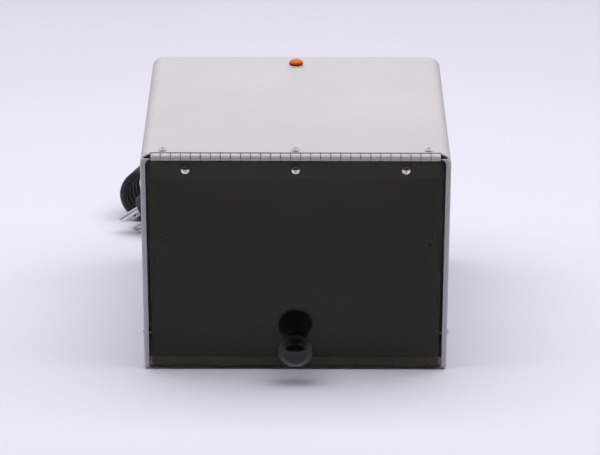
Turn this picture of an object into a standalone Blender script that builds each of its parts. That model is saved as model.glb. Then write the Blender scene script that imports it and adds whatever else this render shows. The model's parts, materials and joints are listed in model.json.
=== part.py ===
"""UV sterilizer cabinet for a barber's station, with its mains cord.

Metres, +Z up. The door faces -Y and the cabinet stands on z = 0. The origin is under the middle of the
cabinet's own bounding box, cord left out.
"""

import math

import bmesh
import bpy
from mathutils import Matrix, Vector

# Driving dimensions of the cabinet
WIDTH = 0.230
DEPTH = 0.2015  # front flanges to the rear of the wrapper
HEIGHT = 0.178  # table to top
SHEET = 0.001
CORNER = 0.009  # outer radius of the wrapper's top corners
BEND = 0.002  # outer radius of a flange's bend
FRONT_FLANGE = 0.0038
REAR_FLANGE = 0.008
FOOT = 0.002
GAP = 0.0003  # left between pieces that touch
SEAT = 0.0001  # left under a fastener's head or nut

# Door, hinge and knob
DOOR_HALF = 0.109
DOOR_THICK = 0.003
DOOR_BOTTOM = 0.0026
LEAF = 0.001
LEAF_TOP = 0.0018  # the fixed leaf's upper face, above the pin's centre
LEAF_DROP = 0.018  # from the pin's centre to the lower edge of the door's leaf
BARREL = 0.00265
PIN = 0.0015
KNUCKLES = 29
KNUCKLE = 0.00739
KNUCKLE_SPLIT = 0.0005
KNOB_R = 0.0133
KNOB_RIM = 0.0215  # from the door to the knob's widest circle
KNOB_REACH = 0.0300
KNOB_HEIGHT = 0.0268

# Pan-head screws and their nuts
HEAD_R = 0.0031
HEAD_H = 0.0020
SHANK_R = 0.0016
HOLE_R = 0.0019

# The front plane is set so that the box from knob to rear screw heads is centred on the origin.
FRONT = (KNOB_REACH + SEAT - DEPTH - GAP - SHEET - SEAT - HEAD_H) / 2
BACK = FRONT + DEPTH
PANEL_BACK = BACK + GAP + SHEET
INNER_X = WIDTH / 2 - SHEET
INNER_TOP = HEIGHT - SHEET
AXIS_Y = FRONT + 0.0016
AXIS_Z = HEIGHT - 0.003
DOOR_TOP = AXIS_Z - 0.0032
TOP_EDGE = FRONT + 0.0038  # front edge of the top sheet along the hinge
CORNER_EDGE = FRONT + 0.0018  # and of the corners beside it
NOTCH_Z = HEIGHT - 0.004  # the side flanges end here
TOP_SCREWS = (-0.0983, 0, 0.0983)
TOP_SCREW_Y = FRONT + 0.0075
DOOR_SCREWS = (-0.0816, 0, 0.0816)
DOOR_SCREW_Z = 0.1652
SIDES = ((-1, "left"), (1, "right"))
SIDE_SCREWS = ((FRONT + 0.012, "front"), (BACK - 0.015, "rear"))
SIDE_SCREW_Z = 0.026
EAR = 0.020  # the rear flanges are wide below this, to take a screw, and slim above it
LOW_BACK_SCREW = (0.1105, 0.0125)
HIGH_BACK_SCREW = (0.098, HEIGHT - 0.0045)
BACK_SCREWS = [(side * x, z) for x, z in (LOW_BACK_SCREW, HIGH_BACK_SCREW) for side in (-1, 1)]

# Electrical gear, in a box under the rear of the top
GEAR_FRONT = BACK - 0.050
GEAR_BOTTOM = 0.136
PILOT_Y = FRONT + 0.1815
PILOT_HOLE = 0.0054
LAMP_Y = GEAR_FRONT + 0.025
LAMP_Z = GEAR_BOTTOM - 0.0213
LAMP_R = 0.00775
GLASS_HALF = 0.056
CAP_LENGTH = 0.012

# Mains cord: a hank on edge behind the cabinet, with the plug leaning in front of its left end
CORD_D = 0.006
RELIEF_LENGTH = 0.024
CORD_EXIT = Vector((0.045, PANEL_BACK + RELIEF_LENGTH, 0.150))
HANK_TURNS = 5
HANK_RADIUS = 3.5 * CORD_D
HANK_RUN = 0.0905
HANK_WAIST = 0.011  # how far the tie draws each run in
HANK_SLANT = 0.4  # each layer lies this far along X per metre of Y
HANK_LEFT = Vector((-0.1282, BACK + 0.0700, 0.0243))  # centre of the front layer's left fold
PLUG_AT = Vector((-0.1250, BACK + 0.0536, 0.0151))  # face of the plug, midway between its blades
PLUG_AIM = Vector((-0.812, 0.072, -0.579))  # the way its blades point
PLUG_PIN_SIDE = Vector((-0.530, -0.506, 0.680))  # from the blades towards the ground pin
PLUG_LENGTH = 0.048
PLUG_CENTRE = 0.004  # the body's middle, towards the ground pin
BLADE_SPREAD = 0.00635


def clear_scene():
    for obj in list(bpy.data.objects):
        bpy.data.objects.remove(obj, do_unlink=True)


# Materials


def material(name, colour, roughness, metallic=0.0, transmission=0.0):
    mat = bpy.data.materials.new(name)
    mat.use_nodes = True
    shader = mat.node_tree.nodes["Principled BSDF"]
    shader.inputs["Base Color"].default_value = (*colour, 1.0)
    shader.inputs["Roughness"].default_value = roughness
    shader.inputs["Metallic"].default_value = metallic
    shader.inputs["Transmission Weight"].default_value = transmission
    return mat


def make_materials():
    return {
        "paint": material("paint", (0.62, 0.60, 0.63), 0.38),
        "smoked": material("smoked_acrylic", (0.045, 0.046, 0.030), 0.04, transmission=0.9),
        "phenolic": material("black_phenolic", (0.008, 0.008, 0.009), 0.12),
        "nickel": material("nickel_plate", (0.72, 0.71, 0.69), 0.16, metallic=1.0),
        "zinc": material("zinc_plate", (0.55, 0.56, 0.57), 0.34, metallic=1.0),
        "aluminium": material("aluminium", (0.80, 0.81, 0.82), 0.22, metallic=1.0),
        "amber": material("amber_lens", (0.90, 0.30, 0.02), 0.15, transmission=0.5),
        "glass": material("quartz_glass", (0.92, 0.94, 0.96), 0.02, transmission=1.0),
        "white": material("white_plastic", (0.78, 0.78, 0.76), 0.40),
        "black": material("black_plastic", (0.012, 0.012, 0.013), 0.42),
        "rubber": material("black_rubber", (0.015, 0.015, 0.015), 0.75),
        "core": material("varnished_steel", (0.10, 0.10, 0.11), 0.55, metallic=0.6),
    }


# Modelling tools


def axis_point(axis, u, v, w):
    """A point with u and v across the axis and w along it."""
    return {"X": (w, u, v), "Y": (u, w, v), "Z": (u, v, w)}[axis]


def arc(centre, radius, start, end, steps):
    """Points on an arc, with its angles in degrees."""
    angles = (math.radians(start + (end - start) * i / steps) for i in range(steps + 1))
    return [(centre[0] + radius * math.cos(a), centre[1] + radius * math.sin(a)) for a in angles]


def add_object(name, bm, mat, location=(0, 0, 0), turn=None, parent=None):
    """Makes an object of the mesh. location is in the world; turn is a rotation matrix."""
    bmesh.ops.recalc_face_normals(bm, faces=bm.faces)
    mesh = bpy.data.meshes.new(name)
    bm.to_mesh(mesh)
    bm.free()
    mesh.shade_smooth()
    mesh.set_sharp_from_angle(angle=math.radians(32))
    if mat is not None:
        mesh.materials.append(mat)
    obj = bpy.data.objects.new(name, mesh)
    bpy.context.collection.objects.link(obj)
    place = Matrix.Translation(location)
    if turn is not None:
        place = place @ turn.to_4x4()
    if parent is not None:
        obj.parent = parent
        place = Matrix.Translation(-parent.location) @ place
    obj.location = place.to_translation()
    obj.rotation_euler = place.to_euler()
    return obj


def loft(rings, closed_ends=True):
    """A skin over rings of points, each with the same number of points."""
    bm = bmesh.new()
    made = [[bm.verts.new(point) for point in ring] for ring in rings]
    for low, high in zip(made, made[1:]):
        for i in range(len(low)):
            j = (i + 1) % len(low)
            bm.faces.new((low[i], low[j], high[j], high[i]))
    if closed_ends:
        bm.faces.new(made[0])
        bm.faces.new(made[-1])
    return bm


def prism(name, outline, axis, low, high, mat, **place):
    """An outline extruded along an axis. A Y outline is in X and Z, an X outline in Y and Z."""
    rings = [[axis_point(axis, u, v, w) for u, v in outline] for w in (low, high)]
    return add_object(name, loft(rings), mat, **place)


def block(name, low, high, mat, **place):
    outline = [(low[0], low[1]), (high[0], low[1]), (high[0], high[1]), (low[0], high[1])]
    return prism(name, outline, "Z", low[2], high[2], mat, **place)


def turned(name, profile, mat, steps=16, closed=False, **place):
    """A profile of (radius, height) turned about Z. A closed profile makes a ring or a tube."""
    bm = bmesh.new()
    verts = [bm.verts.new((r, 0, z)) for r, z in profile]
    pairs = zip(verts, verts[1:] + verts[:1]) if closed else zip(verts, verts[1:])
    edges = [bm.edges.new(pair) for pair in pairs]
    spin = {"cent": (0, 0, 0), "axis": (0, 0, 1), "angle": math.tau, "steps": steps}
    bmesh.ops.spin(bm, geom=verts + edges, use_merge=True, **spin)
    bmesh.ops.remove_doubles(bm, verts=bm.verts, dist=1e-6)
    return add_object(name, bm, mat, **place)


def facing(direction):
    """The rotation that takes +Z to a direction."""
    return Vector(direction).to_track_quat("Z", "Y").to_matrix()


def boolean(target, tool, operation):
    tool.hide_render = True
    tool.display_type = "WIRE"
    modifier = target.modifiers.new(tool.name, "BOOLEAN")
    modifier.operation = operation
    modifier.object = tool


def drill(target, centre, direction, radius=HOLE_R, length=0.012, steps=14):
    """A round hole through the target, centred on a point."""
    half = length / 2
    profile = [(0, half), (radius, half), (radius, -half), (0, -half)]
    tool = turned(target.name + "_drill", profile, None, steps, location=centre, turn=facing(direction))
    boolean(target, tool, "DIFFERENCE")


def mill(target, low, high):
    boolean(target, block(target.name + "_mill", low, high, None), "DIFFERENCE")


def weld(target, other):
    boolean(target, other, "UNION")


# Fasteners


def screw(name, mat, location, direction, length, parent=None):
    """A pan-head screw, its head standing off the surface at the location."""
    dome = [(HEAD_R * math.cos(a), HEAD_H * (0.45 + 0.55 * math.sin(a))) for a in (0.35, 0.85, 1.25)]
    profile = [(0, HEAD_H), *reversed(dome), (HEAD_R, 0.45 * HEAD_H), (HEAD_R, 0)]
    profile += [(SHANK_R, 0), (SHANK_R, -length), (0, -length)]
    centre = Vector(location) + Vector(direction) * SEAT
    return turned(name, profile, mat, 14, location=centre, turn=facing(direction), parent=parent)


def nut(name, mat, location, direction, parent=None):
    """A hexagon nut, bearing against the surface at the location."""
    bore, corners, height = HOLE_R, 0.0032, 0.0024
    rings = []
    for radius, z in ((bore, 0), (corners, 0), (corners, height), (bore, height)):
        spun = 0.0 if radius == corners else math.pi / 12
        turns = (math.tau * i / 12 + spun for i in range(12))
        rings.append([(radius * math.cos(a), radius * math.sin(a), z) for a in turns])
    for ring in rings[1:3]:
        for i in range(1, 12, 2):
            before, after = Vector(ring[i - 1]), Vector(ring[(i + 1) % 12])
            ring[i] = tuple((before + after) / 2)
    bm = loft(rings + rings[:1], closed_ends=False)
    bmesh.ops.remove_doubles(bm, verts=bm.verts, dist=1e-6)
    centre = Vector(location) + Vector(direction) * SEAT
    return add_object(name, bm, mat, location=centre, turn=facing(direction), parent=parent)


# Sheet-metal body


def wrapper_section():
    """The wrapper's cross-section: inset from the outer face, and Y. A flange at each end."""
    inner = BEND - SHEET
    outside = [(FRONT_FLANGE, FRONT)]
    outside += arc((BEND, FRONT + BEND), BEND, 270, 180, 4)
    outside += arc((BEND, BACK - BEND), BEND, 180, 90, 4)
    outside += [(REAR_FLANGE, BACK), (REAR_FLANGE, BACK - SHEET)]
    inside = arc((BEND, BACK - BEND), inner, 90, 180, 3)
    inside += arc((BEND, FRONT + BEND), inner, 180, 270, 3)
    return outside + inside + [(FRONT_FLANGE, FRONT + SHEET)]


def wrapper_stations():
    """Points up one side, over the top and down the other, each with its inward direction."""
    side = WIDTH / 2
    stations = [((-side, FOOT), (1, 0))]
    for x, start, end in ((-side + CORNER, 180, 90), (side - CORNER, 90, 0)):
        rim = arc((x, HEIGHT - CORNER), CORNER, start, end, 6)
        inward = arc((0, 0), -1, start, end, 6)
        stations += zip(rim, inward)
    stations.append(((side, FOOT), (-1, 0)))
    return stations


def make_shell(mats):
    section = wrapper_section()
    rings = []
    for (x, z), (nx, nz) in wrapper_stations():
        rings.append([(x + nx * inset, y, z + nz * inset) for inset, y in section])
    shell = add_object("shell", loft(rings), mats["paint"])
    front, above = FRONT - 0.01, HEIGHT + 0.01
    mill(shell, (-WIDTH, front, NOTCH_Z), (WIDTH, CORNER_EDGE, above))
    clear = KNUCKLES * KNUCKLE / 2 + GAP
    mill(shell, (-clear, front, NOTCH_Z - 0.005), (clear, TOP_EDGE, above))
    for x in TOP_SCREWS:
        drill(shell, (x, TOP_SCREW_Y, HEIGHT), (0, 0, 1))
    drill(shell, (0, PILOT_Y, HEIGHT), (0, 0, 1), radius=PILOT_HOLE)
    slim = WIDTH / 2 - FRONT_FLANGE
    mill(shell, (-slim, BACK - 0.0015, EAR), (slim, BACK + 0.001, GEAR_BOTTOM + 0.010))
    for side, _ in SIDES:
        for y, _ in SIDE_SCREWS:
            drill(shell, (side * WIDTH / 2, y, SIDE_SCREW_Z), (1, 0, 0))
    for x, z in BACK_SCREWS:
        drill(shell, (x, BACK, z), (0, 1, 0), length=0.006)


def make_base_tray(mats):
    """Floor and side flanges in one channel, with a lip at the front and a tongue to the back panel."""
    outer, inner, top = INNER_X - GAP, INNER_X - GAP - SHEET, 0.034
    channel = [(-outer, top), *arc((-outer + BEND, FOOT + BEND), BEND, 180, 270, 3)]
    channel += [*arc((outer - BEND, FOOT + BEND), BEND, 270, 360, 3), (outer, top), (inner, top)]
    channel += arc((outer - BEND, FOOT + BEND), BEND - SHEET, 360, 270, 3)
    channel += arc((-outer + BEND, FOOT + BEND), BEND - SHEET, 270, 180, 3)
    channel.append((-inner, top))
    tray = prism("base_tray", channel, "Y", FRONT + 0.005, BACK - 0.002, mats["paint"])
    low, high = (-0.111, FRONT + 0.0045, FOOT + 0.0003), (0.111, FRONT + 0.0055, 0.0085)
    weld(tray, block("front_lip", low, high, None))
    reach = WIDTH / 2 - REAR_FLANGE - GAP
    low, high = (-reach, BACK - 0.004, FOOT + 0.0001), (reach, BACK, FOOT + SHEET - 0.0001)
    weld(tray, block("rear_tongue", low, high, None))
    for side, _ in SIDES:
        for y, _ in SIDE_SCREWS:
            drill(tray, (side * outer, y, SIDE_SCREW_Z), (1, 0, 0))


def make_back_panel(mats):
    half, top = INNER_X, INNER_TOP
    outline = [(-half, FOOT + GAP), (half, FOOT + GAP)]
    outline += arc((half - CORNER, top - CORNER), CORNER, 0, 90, 6)
    outline += arc((-half + CORNER, top - CORNER), CORNER, 90, 180, 6)
    panel = prism("back_panel", outline, "Y", BACK + GAP, PANEL_BACK, mats["paint"])
    for x, z in BACK_SCREWS:
        drill(panel, (x, PANEL_BACK, z), (0, 1, 0), length=0.006)
    drill(panel, (CORD_EXIT.x, PANEL_BACK, CORD_EXIT.z), (0, 1, 0), radius=0.0064)


def make_body_fasteners(mats):
    for i, x in enumerate(TOP_SCREWS, 1):
        screw(f"top_screw_{i}", mats["nickel"], (x, TOP_SCREW_Y, HEIGHT), (0, 0, 1), 0.0058)
        below = (x, TOP_SCREW_Y, AXIS_Z + LEAF_TOP - LEAF)
        nut(f"top_nut_{i}", mats["zinc"], below, (0, 0, -1))
    for side, word in SIDES:
        for y, end in SIDE_SCREWS:
            at = (side * WIDTH / 2, y, SIDE_SCREW_Z)
            screw(f"side_screw_{word}_{end}", mats["nickel"], at, (side, 0, 0), 0.006)
    for i, (x, z) in enumerate(BACK_SCREWS, 1):
        screw(f"back_screw_{i}", mats["nickel"], (x, PANEL_BACK, z), (0, 1, 0), 0.006)


def make_feet(mats):
    profile = [(0, 0), (0.0062, 0), (0.0058, FOOT - GAP), (0, FOOT - GAP)]
    for side, word in SIDES:
        for y, end in ((FRONT + 0.020, "front"), (BACK - 0.020, "rear")):
            turned(f"foot_{word}_{end}", profile, mats["rubber"], location=(side * 0.098, y, 0))


# Hinge


def knuckle_span(i):
    """The ends of knuckle i, as two X values, with its share of the split left out."""
    start = (i - KNUCKLES / 2) * KNUCKLE
    return start + KNUCKLE_SPLIT / 2, start + KNUCKLE - KNUCKLE_SPLIT / 2


def leaf_prism(name, outline, mat, parent=None):
    """A hinge leaf rolled round the pin. The outline is in Y and Z, from the pin's centre."""
    half = KNUCKLES * KNUCKLE / 2 - KNUCKLE_SPLIT / 2
    return prism(name, outline, "X", -half, half, mat, location=(0, AXIS_Y, AXIS_Z), parent=parent)


def make_shell_leaf(mats):
    """The fixed leaf, under the top sheet. It keeps the even knuckles."""
    length, below = 0.0156, LEAF_TOP - LEAF
    rim = math.degrees(math.asin(LEAF_TOP / BARREL))
    bore = math.degrees(math.asin(below / (BARREL - LEAF)))
    outline = [(length, LEAF_TOP), *arc((0, 0), BARREL, rim, 334, 12)]
    outline += [*arc((0, 0), BARREL - LEAF, 334, bore, 12), (length, below)]
    leaf = leaf_prism("hinge_leaf_shell", outline, mats["paint"])
    for i in range(1, KNUCKLES, 2):
        low, high = knuckle_span(i)
        y, room = AXIS_Y - 0.005, KNUCKLE_SPLIT
        mill(leaf, (low - room, y, AXIS_Z - 0.005), (high + room, AXIS_Y + 0.0031, AXIS_Z + 0.005))
    for x in TOP_SCREWS:
        drill(leaf, (x, TOP_SCREW_Y, AXIS_Z + LEAF_TOP), (0, 0, 1), length=0.005)


def make_door_leaf(mats, axis):
    """The moving leaf, behind the door. It keeps the odd knuckles."""
    outline = [(BARREL, -LEAF_DROP), *arc((0, 0), BARREL, 0, 295, 12)]
    outline += [*arc((0, 0), BARREL - LEAF, 295, 0, 12), (BARREL - LEAF, -LEAF_DROP)]
    leaf = leaf_prism("hinge_leaf_door", outline, mats["paint"], parent=axis)
    for i in range(0, KNUCKLES, 2):
        low, high = knuckle_span(i)
        y, room = AXIS_Y - 0.005, KNUCKLE_SPLIT
        mill(leaf, (low - room, y, AXIS_Z - 0.0035), (high + room, AXIS_Y + 0.005, AXIS_Z + 0.005))
    for x in DOOR_SCREWS:
        drill(leaf, (x, AXIS_Y + BARREL, DOOR_SCREW_Z), (0, 1, 0), length=0.005)


def make_hinge_pin(mats):
    half = KNUCKLES * KNUCKLE / 2
    profile = [(0, -half), (PIN, -half), (PIN, half), (0, half)]
    at = (0, AXIS_Y, AXIS_Z)
    turned("hinge_pin", profile, mats["zinc"], 12, location=at, turn=facing((1, 0, 0)))


# Door


def make_door(mats, axis):
    corner = 0.0015
    x, low, high = DOOR_HALF - corner, DOOR_BOTTOM + corner, DOOR_TOP - corner
    outline = arc((-x, low), corner, 180, 270, 2) + arc((x, low), corner, 270, 360, 2)
    outline += arc((x, high), corner, 0, 90, 2) + arc((-x, high), corner, 90, 180, 2)
    back = FRONT + DOOR_THICK
    door = prism("door_panel", outline, "Y", FRONT, back, mats["smoked"], parent=axis)
    for x in DOOR_SCREWS:
        drill(door, (x, FRONT, DOOR_SCREW_Z), (0, 1, 0))
    drill(door, (0, FRONT, KNOB_HEIGHT), (0, 1, 0))


def make_knob(mats, axis):
    """A mushroom knob, bored for its screw: a neck, a rounded rim, a tapered flank and a low dome."""
    neck, ease, dome, slope = 0.0053, 0.0015, 0.0150, 0.0075
    under = arc((0.0120, neck + slope), slope, 270, 355, 5)
    rim = arc((KNOB_RIM, KNOB_R - ease), ease, 130, 50, 4)
    crown = arc((KNOB_REACH - dome, 0), dome, 38, 0, 5)
    profile = [(0, 0.012), (HOLE_R, 0.012), (HOLE_R, 0), (neck + 0.0009, 0), (neck + 0.0009, 0.0012)]
    profile += [(neck, 0.0022)] + [(r, h) for h, r in under + rim + crown[:-1]] + [(0, KNOB_REACH)]
    at = (0, FRONT - SEAT, KNOB_HEIGHT)
    turned("knob", profile, mats["phenolic"], 24, location=at, turn=facing((0, -1, 0)), parent=axis)
    behind = (0, FRONT + DOOR_THICK, KNOB_HEIGHT)
    screw("knob_screw", mats["nickel"], behind, (0, 1, 0), DOOR_THICK + 0.010, parent=axis)


def make_door_fasteners(mats, axis):
    for i, x in enumerate(DOOR_SCREWS, 1):
        at = (x, FRONT, DOOR_SCREW_Z)
        screw(f"door_screw_{i}", mats["nickel"], at, (0, -1, 0), 0.0085, parent=axis)
        behind = (x, AXIS_Y + BARREL, DOOR_SCREW_Z)
        nut(f"door_nut_{i}", mats["zinc"], behind, (0, 1, 0), parent=axis)


# Gear box and lamp


def make_gear_cover(mats):
    """A front wall with rounded top corners, and a floor that carries the lamp."""
    half, top, corner = INNER_X - 2 * GAP, INNER_TOP - GAP, CORNER - SHEET
    outline = [(-half, GEAR_BOTTOM + SHEET / 2), (half, GEAR_BOTTOM + SHEET / 2)]
    outline += arc((half - corner, top - corner), corner, 0, 90, 5)
    outline += arc((-half + corner, top - corner), corner, 90, 180, 5)
    cover = prism("gear_cover", outline, "Y", GEAR_FRONT, GEAR_FRONT + SHEET, mats["paint"])
    low = (-half + 0.0002, GEAR_FRONT + SHEET / 2, GEAR_BOTTOM)
    high = (half - 0.0002, BACK - SHEET - GAP, GEAR_BOTTOM + SHEET)
    weld(cover, block("gear_floor", low, high, None))


def make_reflector(mats):
    """A bent sheet over the lamp."""
    slope, sheet = 0.013, 0.0008
    upper = [(-0.021, -slope), (-0.009, 0), (0.009, 0), (0.021, -slope)]
    lower = [(u * 0.955, v - sheet) for u, v in reversed(upper)]
    at = (0, LAMP_Y, GEAR_BOTTOM - GAP)
    prism("reflector", upper + lower, "X", -0.064, 0.064, mats["aluminium"], location=at)


def make_lamp(mats):
    """A straight tube along X, with a capped end and two contact pins on each side."""
    wall = LAMP_R - 0.0008
    glass = [(LAMP_R, -GLASS_HALF), (LAMP_R, GLASS_HALF), (wall, GLASS_HALF), (wall, -GLASS_HALF)]
    at, along = (0, LAMP_Y, LAMP_Z), facing((1, 0, 0))
    turned("lamp_tube", glass, mats["glass"], closed=True, location=at, turn=along)
    shoulder = CAP_LENGTH - 0.001
    profile = [(0, GAP), (LAMP_R, GAP), (LAMP_R, shoulder), (LAMP_R - 0.001, CAP_LENGTH), (0, CAP_LENGTH)]
    root, tip, pin_r = CAP_LENGTH - 0.002, CAP_LENGTH + 0.0065, 0.0011
    pin = [(0, root), (pin_r, root), (pin_r, tip), (0, tip)]
    for side, word in SIDES:
        out, end = facing((side, 0, 0)), (side * GLASS_HALF, LAMP_Y, LAMP_Z)
        cap = turned(f"lamp_cap_{word}", profile, mats["aluminium"], location=end, turn=out)
        for offset in (-0.0025, 0.0025):
            place = (end[0], LAMP_Y + offset, LAMP_Z)
            weld(cap, turned(cap.name + "_pin", pin, None, 8, location=place, turn=out))


def make_lamp_holders(mats):
    """Two sockets hanging from the gear cover, each with a slot for the contact pins."""
    half, thick = 0.009, 0.011
    top = GEAR_BOTTOM - GAP - LAMP_Z
    outline = [(half, top), (-half, top), *arc((0, 0), half, 180, 360, 8)]
    inner = GLASS_HALF + CAP_LENGTH + GAP
    for side, word in SIDES:
        ends = sorted((side * inner, side * (inner + thick)))
        at = (0, LAMP_Y, LAMP_Z)
        holder = prism(f"lamp_holder_{word}", outline, "X", *ends, mats["white"], location=at)
        slot = sorted((side * (inner - 0.001), side * (inner + 0.0072)))
        low = (slot[0], LAMP_Y - 0.0042, LAMP_Z - 0.0015)
        mill(holder, low, (slot[1], LAMP_Y + 0.0042, LAMP_Z + 0.0015))


def make_pilot_lamp(mats):
    """A threaded body with a bezel, a domed lens on it, and a nut under the sheet."""
    thread, bezel, bezel_top, lens_r, lens_top = 0.005, 0.0062, 0.0010, 0.0057, 0.0052
    body = [(0, -0.018), (thread, -0.018), (thread, SEAT), (bezel, SEAT), (bezel, bezel_top / 2)]
    body += [(bezel - 0.0004, bezel_top), (0, bezel_top)]
    at = (0, PILOT_Y, HEIGHT)
    turned("pilot_body", body, mats["white"], location=at)
    base = bezel_top + GAP
    rise = lens_top - base - 0.0005
    dome = [(lens_r * math.cos(a), lens_top - rise * (1 - math.sin(a))) for a in (0, 0.4, 0.8, 1.2)]
    lens = [(0, base), (lens_r, base), *dome, (0, lens_top)]
    turned("pilot_lens", lens, mats["amber"], location=at)
    ring = [(thread + 0.0002, -0.0024), (0.0075, -0.0024), (0.0075, 0), (thread + 0.0002, 0)]
    below = (0, PILOT_Y, INNER_TOP - SEAT)
    turned("pilot_nut", ring, mats["zinc"], 12, closed=True, location=below)


def make_ballast(mats):
    """A choke: a block of laminations with its winding standing out at each end."""
    x, y, z = 0.055, GEAR_FRONT + SHEET + 0.0165, GEAR_BOTTOM + SHEET + GAP
    core = block("ballast", (x - 0.017, y - 0.015, z), (x + 0.017, y + 0.015, z + 0.026), mats["core"])
    low, high = (x - 0.030, y - 0.0115, z + 0.004), (x + 0.030, y + 0.0115, z + 0.022)
    weld(core, block("winding", low, high, None))


def make_starter(mats):
    """A glow starter lying along X, plugged into its socket."""
    radius, length = 0.0105, 0.034
    rim = arc((length - 0.003, radius - 0.003), 0.003, 90, 0, 3)
    profile = [(0, 0), (radius, 0), *((r, h) for h, r in rim), (0, length)]
    y, z = GEAR_FRONT + SHEET + 0.0135, GEAR_BOTTOM + SHEET + GAP + 0.0118
    at, left = (-0.042, y, z), facing((-1, 0, 0))
    turned("starter", profile, mats["aluminium"], 18, location=at, turn=left)
    low, high = (-0.042 + GAP, y - 0.012, z - 0.0118), (-0.030, y + 0.012, z + 0.0115)
    block("starter_socket", low, high, mats["white"])


# Mains cord


def smooth_route(points, spacing):
    """Points a little apart on one smooth curve through the route's points."""
    ends = [2 * points[0] - points[1], *points, 2 * points[-1] - points[-2]]
    fine = []
    for p0, p1, p2, p3 in zip(ends, ends[1:], ends[2:], ends[3:]):
        for k in range(20):
            t = k / 20
            bend = 2 * p0 - 5 * p1 + 4 * p2 - p3
            twist = 3 * p1 - p0 - 3 * p2 + p3
            fine.append(p1 + 0.5 * t * (p2 - p0) + 0.5 * t * t * bend + 0.5 * t**3 * twist)
    fine.append(points[-1])
    total = sum((b - a).length for a, b in zip(fine, fine[1:]))
    count = max(2, round(total / spacing))
    route, travelled, step = [fine[0]], 0.0, total / count
    for a, b in zip(fine, fine[1:]):
        travelled += (b - a).length
        if travelled >= step * len(route) and len(route) < count:
            route.append(b)
    return route + [fine[-1]]


def plug_turn():
    """The plug's rotation: X across the blades, Y towards the ground pin, Z the way they point."""
    aim = PLUG_AIM.normalized()
    pin = (PLUG_PIN_SIDE - PLUG_PIN_SIDE.project(aim)).normalized()
    return Matrix((pin.cross(aim), pin, aim)).transposed()


def plug_tail():
    return PLUG_AT + plug_turn() @ Vector((0, PLUG_CENTRE, -PLUG_LENGTH))


def lead_points():
    """From the strain relief down to the top of the hank's rear layer."""
    y, z = CORD_EXIT.y, CORD_EXIT.z
    return [
        CORD_EXIT + Vector((0, GAP, 0)),
        Vector((0.045, y + 0.012, z - 0.0005)),
        Vector((0.0435, y + 0.0236, z - 0.005)),
        Vector((0.0396, y + 0.0358, z - 0.0141)),
        Vector((0.0331, y + 0.0466, z - 0.0272)),
        Vector((0.0252, y + 0.0570, z - 0.0430)),
        Vector((0.0163, y + 0.0658, z - 0.0598)),
        Vector((0.0084, y + 0.0719, z - 0.0759)),
        Vector((0.0015, y + 0.0748, z - 0.0883)),
        Vector((-0.0060, y + 0.0752, z - 0.0972)),
        Vector((-0.0120, y + 0.0750, z - 0.1012)),
    ]


def tail_points():
    """From the top of the hank's front layer over to the plug."""
    y, tail, out = HANK_LEFT.y, plug_tail(), -PLUG_AIM.normalized()
    return [
        Vector((-0.0425, y - 0.0028, 0.0519)),
        Vector((-0.0490, y - 0.0068, 0.0552)),
        Vector((-0.0570, y - 0.0126, 0.0573)),
        Vector((-0.0655, y - 0.0180, 0.0570)),
        Vector((-0.0735, y - 0.0212, 0.0542)),
        tail + out * 0.009,
        tail + out * GAP,
    ]


def make_cord(name, points, mat):
    """A tube along a smooth route."""
    route = smooth_route(points, 2 * CORD_D)
    curve = bpy.data.curves.new(name, "CURVE")
    curve.dimensions = "3D"
    curve.bevel_depth = CORD_D / 2
    curve.bevel_resolution = 2
    curve.use_fill_caps = True
    spline = curve.splines.new("POLY")
    spline.points.add(len(route) - 1)
    for point, place in zip(spline.points, route):
        point.co = (*place, 1)
    curve.materials.append(mat)
    bpy.context.collection.objects.link(bpy.data.objects.new(name, curve))


def hank_outline():
    """The hank's outline, as (x, z) from its left fold: two round ends, and runs drawn in by the tie."""
    radius = HANK_RADIUS + CORD_D / 2
    waist = []
    for i in range(1, 10):
        x = i / 10
        waist.append((x * HANK_RUN, radius - HANK_WAIST * math.sin(math.pi * x) ** 2))
    top = [(HANK_RUN - x, z) for x, z in waist]
    bottom = [(x, -z) for x, z in waist]
    left = arc((0, 0), radius, 90, 270, 8)
    right = arc((HANK_RUN, 0), radius, -90, 90, 8)
    return left + bottom + right + top


def make_hank(mats):
    """The wound cord as one solid, its layers slanting to the right towards the rear."""
    rings, (x0, y0, z0) = [], HANK_LEFT
    for along in (-CORD_D / 2, HANK_TURNS * CORD_D + CORD_D / 2):
        shift = HANK_SLANT * (along + CORD_D / 2)
        rings.append([(x0 + x + shift, y0 + along, z0 + z) for x, z in hank_outline()])
    add_object("cord_hank", loft(rings), mats["rubber"])


def make_tie(mats):
    """A strap round the hank's waist."""
    width, thick = 0.008, 0.0012
    x = HANK_LEFT.x + HANK_RUN / 2 + HANK_SLANT * (HANK_TURNS + 1) * CORD_D / 2
    near = HANK_LEFT.y - CORD_D / 2 - GAP
    far = HANK_LEFT.y + (HANK_TURNS + 0.5) * CORD_D + GAP
    half = HANK_RADIUS + CORD_D / 2 - HANK_WAIST + 0.003
    low = (x - width / 2, near - thick, HANK_LEFT.z - half - thick)
    high = (x + width / 2, far + thick, HANK_LEFT.z + half + thick)
    tie = block("cord_tie", low, high, mats["black"])
    mill(tie, (x - width, near, HANK_LEFT.z - half), (x + width, far, HANK_LEFT.z + half))


def make_strain_relief(mats):
    """A bush through the back panel, with a sleeve that tapers along the cord."""
    flange = [(0.0059, SEAT), (0.008, SEAT), (0.008, 0.0022)]
    profile = [(0, -0.007), (0.0056, -0.007), (0.0059, -0.004), *flange]
    profile += [(0.0056, 0.0035), (0.0041, RELIEF_LENGTH), (0, RELIEF_LENGTH)]
    at = (CORD_EXIT.x, PANEL_BACK, CORD_EXIT.z)
    turned("strain_relief", profile, mats["rubber"], location=at, turn=facing((0, 1, 0)))


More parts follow.
